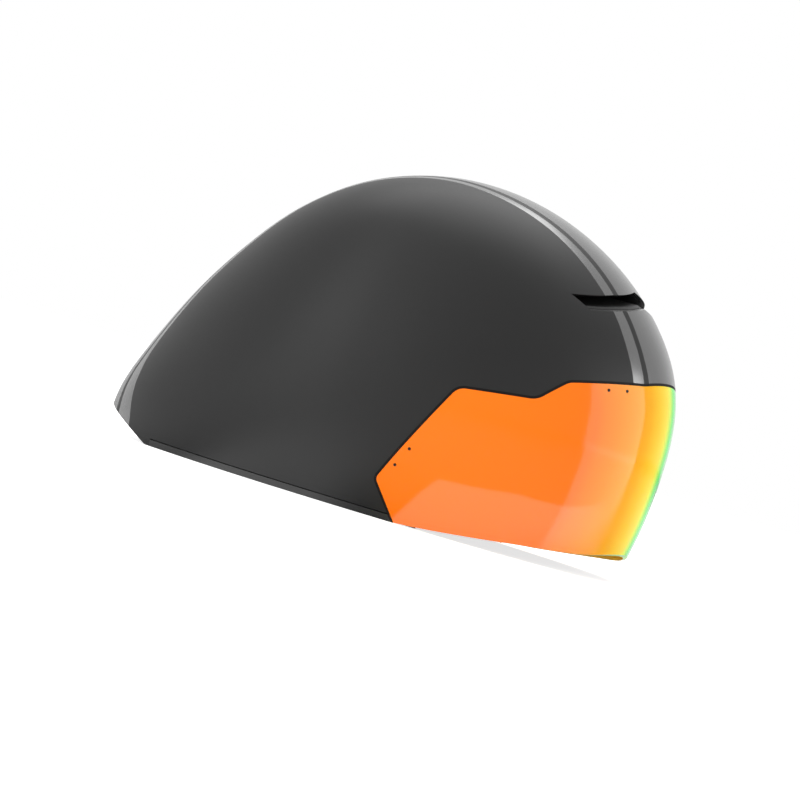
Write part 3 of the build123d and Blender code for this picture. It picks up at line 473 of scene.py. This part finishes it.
def rounded_route(corners, radius, step_mm=1.5):
    """Even points along a level route whose corners are arcs of one radius, and their distances.

    An arc's centre lies on its corner's bisector, at the radius over the sine of half the angle, and
    the arc starts and ends at the radius over the tangent of half the angle from the corner.
    """
    arc_points, fewest = 9, 4
    corners = [np.array(c, dtype=float) for c in corners]
    points = [corners[0]]
    for before, corner, after in zip(corners, corners[1:], corners[2:]):
        enter = (before - corner) / np.linalg.norm(before - corner)
        leave = (after - corner) / np.linalg.norm(after - corner)
        half = np.arccos(np.clip(enter @ leave, -1, 1)) / 2
        centre = corner + (enter + leave) / np.linalg.norm(enter + leave) * radius / np.sin(half)
        first, last = corner + enter * radius / np.tan(half), corner + leave * radius / np.tan(half)
        begin = np.arctan2(*(first - centre)[::-1])
        sweep = (np.arctan2(*(last - centre)[::-1]) - begin + np.pi) % (2 * np.pi) - np.pi
        angle = begin + sweep * np.linspace(0, 1, arc_points)
        points.extend(centre + radius * np.stack([np.cos(angle), np.sin(angle)], axis=1))
    points.append(corners[-1])
    points = np.array(points)
    length = np.concatenate([[0], np.cumsum(np.linalg.norm(np.diff(points, axis=0), axis=1))])
    even = np.linspace(0, length[-1], max(int(length[-1] / step_mm), fewest))
    return np.stack([np.interp(even, length, points[:, i]) for i in (0, 1)], axis=1), even


def strap(name, corners, radius, low, high, wall=1.2):
    """Webbing along a level route, in mm: one closed section carried along it, with capped ends.

    The section's half thickness is .8 of half the wall in the middle, grows with the fourth power of
    the distance from there to the full half wall in the edge cords, and drops to .55 of it at the edge.
    """
    section_points, sharp_degrees = 9, 50
    line, length = rounded_route(corners, radius)
    ahead = np.gradient(line, axis=0)
    ahead /= np.linalg.norm(ahead, axis=1, keepdims=True)
    across = np.stack([-ahead[:, 1], ahead[:, 0]], axis=1)
    rise = np.linspace(0, 1, section_points)
    at_edge = (rise == 0) | (rise == 1)
    swell = wall / 2 * (.8 + .2 * np.abs(2 * rise - 1) ** 4) * np.where(at_edge, .55, 1)
    offset = np.concatenate([swell, -swell[::-1]])
    level = np.concatenate([rise, rise[::-1]]) * (high - low) + low
    rows, ring = len(line), len(offset)
    grid = np.empty((rows, ring, 3))
    grid[:, :, :2] = line[:, None] + across[:, None] * offset[None, :, None]
    grid[:, :, 2] = level
    i, j = np.meshgrid(np.arange(rows - 1) * ring, np.arange(ring), indexing="ij")
    k = (j + 1) % ring
    faces = np.stack([i + j, i + ring + j, i + ring + k, i + k], axis=-1).reshape(-1, 4)
    caps = [list(range(ring)), list(range((rows - 1) * ring, rows * ring))[::-1]]
    mesh = bpy.data.meshes.new(name)
    mesh.from_pydata((grid.reshape(-1, 3) * MM).tolist(), [], faces.tolist() + caps)
    form = bmesh.new()
    form.from_mesh(mesh)
    bmesh.ops.recalc_face_normals(form, faces=form.faces)
    form.to_mesh(mesh)
    form.free()
    corner = np.empty(len(mesh.loops), int)
    mesh.loops.foreach_get("vertex_index", corner)
    flat = np.stack([length[corner // ring] * MM, np.tile(level, rows)[corner] * MM], axis=1)
    mesh.uv_layers.new(name="weave").data.foreach_set("uv", flat.ravel())
    mesh.shade_smooth()
    mesh.set_sharp_from_angle(angle=np.radians(sharp_degrees))
    piece = bpy.data.objects.new(name, mesh)
    bpy.context.scene.collection.objects.link(piece)
    return piece


# Corners of the routes in mm: a front and a rear strap lie on each divider's outer side, and a chin
# strap leaves its inner side and runs round to its half of the buckle.
twill = webbing_material()
web_low, web_high, side_bend, chin_bend = 2, 17, 5, 9
outer, inner = 53.4, 50.6
strap_routes = {}
for side, name in ((1, "left"), (-1, "right")):
    leg = side * outer
    strap_routes[name + "_front_strap"] = [(16, leg), (40, leg), (40, side * 68)]
    strap_routes[name + "_rear_strap"] = [(-4, leg), (-28, leg), (-28, side * 60)]
strap_routes["left_chin_strap"] = [(16, inner), (38, inner), (38, 30), (-45, 30), (-45, 0), (-26, 0)]
strap_routes["right_chin_strap"] = [(-4, -inner), (-40, -inner), (-40, -26), (38, -26), (38, 0), (0, 0)]
for node, corners in strap_routes.items():
    band = strap(node + "_web", corners, chin_bend if "chin" in node else side_bend, web_low, web_high)
    hold(band, node, twill)


# Foam liner: four bonded blocks of black expanded polystyrene. The steam-fused beads, 3 mm
# across, show as faint cells with dark seams.
def foam_material():
    """Fused beads: cells of a real bead's size, domed a little, with a darker line where they meet."""
    bead_mm = 3.0
    material, tree, shader, place = new_material("expanded_polystyrene")
    seam = add_node(tree, "ShaderNodeTexVoronoi", {"Vector": place, "Scale": 1000 / bead_mm},
                    feature="DISTANCE_TO_EDGE")
    dome = add_node(tree, "ShaderNodeMapRange", {"Value": seam.outputs["Distance"],
                                                 "From Max": .25}).outputs[0]
    tone = add_node(tree, "ShaderNodeTexVoronoi", {"Vector": place, "Scale": 1000 / bead_mm})
    shade = add_node(tree, "ShaderNodeSeparateColor", {"Color": tone.outputs["Color"]}).outputs[0]
    bead_tint = add_node(tree, "ShaderNodeMix", {"Factor": shade, 6: linear("191919"), 7: linear("242424")},
                         data_type="RGBA")
    tint = add_node(tree, "ShaderNodeMix", {"Factor": dome, 6: linear("0A0A0A"), 7: bead_tint.outputs[2]},
                    data_type="RGBA")
    bump = add_node(tree, "ShaderNodeBump", {"Height": dome, "Strength": .5, "Distance": .25 * MM})
    tree.links.new(tint.outputs[2], shader.inputs["Base Color"])
    tree.links.new(bump.outputs["Normal"], shader.inputs["Normal"])
    shader.inputs["Roughness"].default_value = .75
    return material


fused_beads = foam_material()
for node in ("eps_crown", "eps_left_side", "eps_right_side", "eps_tail"):
    hold(smooth_copy(node, node + "_foam"), node, fused_beads)


# Rigid fittings of moulded nylon: the duct behind the slot, the visor's frame with its magnet
# holders, the anchors of the straps, and the rear cradle with its side arms and plugs.
def fitting(node, name, material, bevel_mm=.3):
    """A smooth copy of a CAD node with its sharp edges broken, as a mould leaves them."""
    steps, sharp_degrees = 2, 40
    piece = smooth_copy(node, name, on_skin=False)
    hold(piece, node, material)
    if bevel_mm:
        edge = piece.modifiers.new("broken_edges", "BEVEL")
        edge.width, edge.segments, edge.limit_method = bevel_mm * MM, steps, "ANGLE"
        edge.angle_limit = np.radians(sharp_degrees)


glass_nylon = moulded_material("moulded_glass_filled_nylon", "151515", roughness=.45)
for node in ("intake_duct", "visor_frame", "visor_magnet_holders"):
    fitting(node, node + "_moulding", glass_nylon, bevel_mm=0)
for node in ("strap_anchors", "cradle_yoke", "left_cradle_arm", "right_cradle_arm", "arm_plugs"):
    fitting(node, node + "_moulding", glass_nylon)


# Metal parts: nickel-plated magnets, pins and dial screw, a spring of blued strip, and blackened
# rivets and screws whose heads show as dark dots.
def metal_material(name, colour, roughness, scratch_mm=1.5):
    """Plated or blackened steel: a metal whose shine is broken by fine uneven wear."""
    material, tree, shader, place = new_material(name)
    wear = add_node(tree, "ShaderNodeTexNoise", {"Vector": place, "Scale": 1000 / scratch_mm, "Detail": 4.0})
    tint = add_node(tree, "ShaderNodeMix", {"Factor": wear.outputs["Fac"], 6: linear(colour, .7),
                                            7: linear(colour)}, data_type="RGBA")
    dullness = add_node(tree, "ShaderNodeMapRange", {"Value": wear.outputs["Fac"], "To Min": roughness * .8,
                                                     "To Max": roughness * 1.3}).outputs[0]
    tree.links.new(tint.outputs[2], shader.inputs["Base Color"])
    tree.links.new(dullness, shader.inputs["Roughness"])
    shader.inputs["Metallic"].default_value = 1.0
    return material


nickel = metal_material("nickel_plate", "B8B4AC", roughness=.22)
for node in ("frame_magnets", "visor_magnets", "buckle_magnet", "left_lever_pin", "right_lever_pin",
             "dial_screw"):
    fitting(node, node + "_plated", nickel, bevel_mm=.15)
blued = metal_material("blued_spring_steel", "5A6070", roughness=.3)
fitting("click_spring", "click_spring_strip", blued, bevel_mm=0)
blackened = metal_material("blackened_steel", "262626", roughness=.4)
for node in ("visor_rivets", "arm_screws"):
    fitting(node, node + "_heads", blackened, bevel_mm=0)


# Fit dial: an acetal base, knob and spool, with a ribbed rubber grip moulded round the knob. The
# lace that it winds is a 1 mm braided cord in the yoke's channel.
acetal = moulded_material("moulded_acetal", "111111", roughness=.3)
for node in ("dial_base", "dial_knob", "lace_spool"):
    fitting(node, node + "_acetal", acetal)
fitting("dial_grip", "dial_grip_rubber", soft_rubber)


def braid_material():
    """Braided polyester: fine slanted strands round a grey cord."""
    strand_mm = .5
    material, tree, shader, place = new_material("braided_polyester_lace")
    strands = add_node(tree, "ShaderNodeTexWave", {"Vector": place, "Scale": band_scale(strand_mm),
                                                   "Distortion": .5}, bands_direction="DIAGONAL")
    tint = add_node(tree, "ShaderNodeMix", {"Factor": strands.outputs["Fac"], 6: linear("2E2E2E"),
                                            7: linear("8A8A8A")}, data_type="RGBA")
    bump = add_node(tree, "ShaderNodeBump", {"Height": strands.outputs["Fac"], "Strength": .5,
                                             "Distance": .1 * MM})
    tree.links.new(tint.outputs[2], shader.inputs["Base Color"])
    tree.links.new(bump.outputs["Normal"], shader.inputs["Normal"])
    shader.inputs["Roughness"].default_value = .7
    return material


fitting("fit_lace", "fit_lace_braid", braid_material(), bevel_mm=0)


# Strap hardware: acetal dividers with their locking levers, the two halves of the magnetic
# buckle, and rubber keepers that hold the folded strap ends.
for node in ("left_divider", "right_divider", "left_lever", "right_lever", "buckle_female", "buckle_male"):
    fitting(node, node + "_acetal", acetal)
for node in ("left_strap_keeper", "right_strap_keeper"):
    fitting(node, node + "_rubber", soft_rubber)


# Floor: a plain white sheet that the helmet stands on. White cards round the helmet would show in the
# gloss of visor and shell, so in gloss alone three patches of the sheet shine as such cards do.
extent, level = 3.0, -.2 * MM
floor_mesh = bpy.data.meshes.new("floor")
floor_mesh.from_pydata([(-extent, -extent, level), (extent, -extent, level), (extent, extent, level),
                        (-extent, extent, level)], [], [(0, 1, 2, 3)])
floor = bpy.data.objects.new("floor", floor_mesh)
bpy.context.scene.collection.objects.link(floor)
floor_paint, tree, shader, place = new_material("white_sheet")


def patch(strength, *edges):
    """Brightness of a patch of floor: its strength times a share from 0 to 1 for each of its edges.

    An edge is the two parts of its inward direction, the distance along that direction where the patch
    starts, and the width of its blur, in metres. The share grows evenly from 0 to 1 across the blur.
    """
    bright = strength
    for along_x, along_y, start, blur in edges:
        reach = add_node(tree, "ShaderNodeVectorMath", {0: place, 1: (along_x, along_y, 0)},
                         operation="DOT_PRODUCT")
        inside = add_node(tree, "ShaderNodeMapRange", {"Value": reach.outputs["Value"], "From Min": start,
                                                       "From Max": start + blur}).outputs[0]
        bright = add_node(tree, "ShaderNodeMath", {0: inside, 1: bright}, operation="MULTIPLY").outputs[0]
    return bright


ahead = patch(3.8, (.52, 1, .003, .006), (.52, -1, .11, .05))
beside_visor = patch(3.7, (1, .33, .02, .003), (0, 1, -.162, .003), (-.6, 1, -.26, .003), (0, -1, 0, .09))
beside_shell = patch(2.0, (1, 0, -.1, .03), (-1, 0, -.03, .03), (0, 1, -.25, .05), (0, -1, 0, .05))
rays = add_node(tree, "ShaderNodeLightPath")
cards = add_node(tree, "ShaderNodeMath", {0: ahead, 1: beside_visor}, operation="ADD").outputs[0]
cards = add_node(tree, "ShaderNodeMath", {0: cards, 1: beside_shell}, operation="ADD").outputs[0]
in_gloss = add_node(tree, "ShaderNodeMath", {0: rays.outputs["Is Glossy Ray"], 1: cards},
                    operation="MULTIPLY").outputs[0]
lift = add_node(tree, "ShaderNodeMath", {0: rays.outputs["Is Camera Ray"], 1: .75, 2: in_gloss},
                operation="MULTIPLY_ADD").outputs[0]
tree.links.new(lift, shader.inputs["Emission Strength"])
shader.inputs["Base Color"].default_value = (.9, .9, .9, 1)
shader.inputs["Roughness"].default_value = .9
shader.inputs["Specular IOR Level"].default_value = 0
shader.inputs["Emission Color"].default_value = (1, 1, 1, 1)
floor_mesh.materials.append(floor_paint)


# Light: a white room with soft boxes above, ahead and at the side. The card ahead gives no light to
# matte surfaces and shows in the gloss of the shell's front alone.
def soft_box(name, place, target, size, watts, lights=True):
    """A rectangular area lamp at a place, turned to its target. All lengths are in metres."""
    lamp = bpy.data.lights.new(name, "AREA")
    lamp.shape, lamp.size, lamp.size_y, lamp.energy = "RECTANGLE", size[0], size[1], watts
    box = bpy.data.objects.new(name, lamp)
    box.location = place
    box.rotation_euler = (Vector(target) - Vector(place)).to_track_quat("-Z", "Y").to_euler()
    box.visible_diffuse = lights
    bpy.context.scene.collection.objects.link(box)


helmet_middle, straight_back = (0, 0, .1), (0, -.14, .6)
soft_box("top_box", (-.28, .32, 1.7), helmet_middle, (1.8, 1.9), 30)
soft_box("rear_side_box", (-1.0, -1.4, 1.35), helmet_middle, (1.4, 1.2), 10.5)
soft_box("low_side_box", (-.95, -1.3, .35), helmet_middle, (1.0, .7), 9)
soft_box("front_box", (1.9, -.14, .6), straight_back, (1.9, 1.2), 9)
soft_box("front_card", (1.89, -.14, .6), straight_back, (1.9, 1.2), 16, lights=False)

# The room's walls light the helmet at about half the strength at which they are seen.
world = bpy.data.worlds.new("white_room")
bpy.context.scene.world = world
world.use_nodes = True
tree = world.node_tree
tree.nodes.clear()
rays = add_node(tree, "ShaderNodeLightPath")
seen = add_node(tree, "ShaderNodeMath", {0: rays.outputs["Is Camera Ray"], 1: rays.outputs["Is Glossy Ray"]},
                operation="MAXIMUM").outputs[0]
seen = add_node(tree, "ShaderNodeMath", {0: seen, 1: rays.outputs["Is Transmission Ray"]},
                operation="MAXIMUM").outputs[0]
room = add_node(tree, "ShaderNodeBackground", {"Color": (1, 1, 1, 1), "Strength": .48})
white = add_node(tree, "ShaderNodeBackground", {"Color": (1, 1, 1, 1), "Strength": 1.0})
mixed = add_node(tree, "ShaderNodeMixShader", {0: seen, 1: room.outputs[0], 2: white.outputs[0]})
add_node(tree, "ShaderNodeOutputWorld", {0: mixed.outputs[0]})
bpy.context.scene.view_settings.view_transform = "Standard"
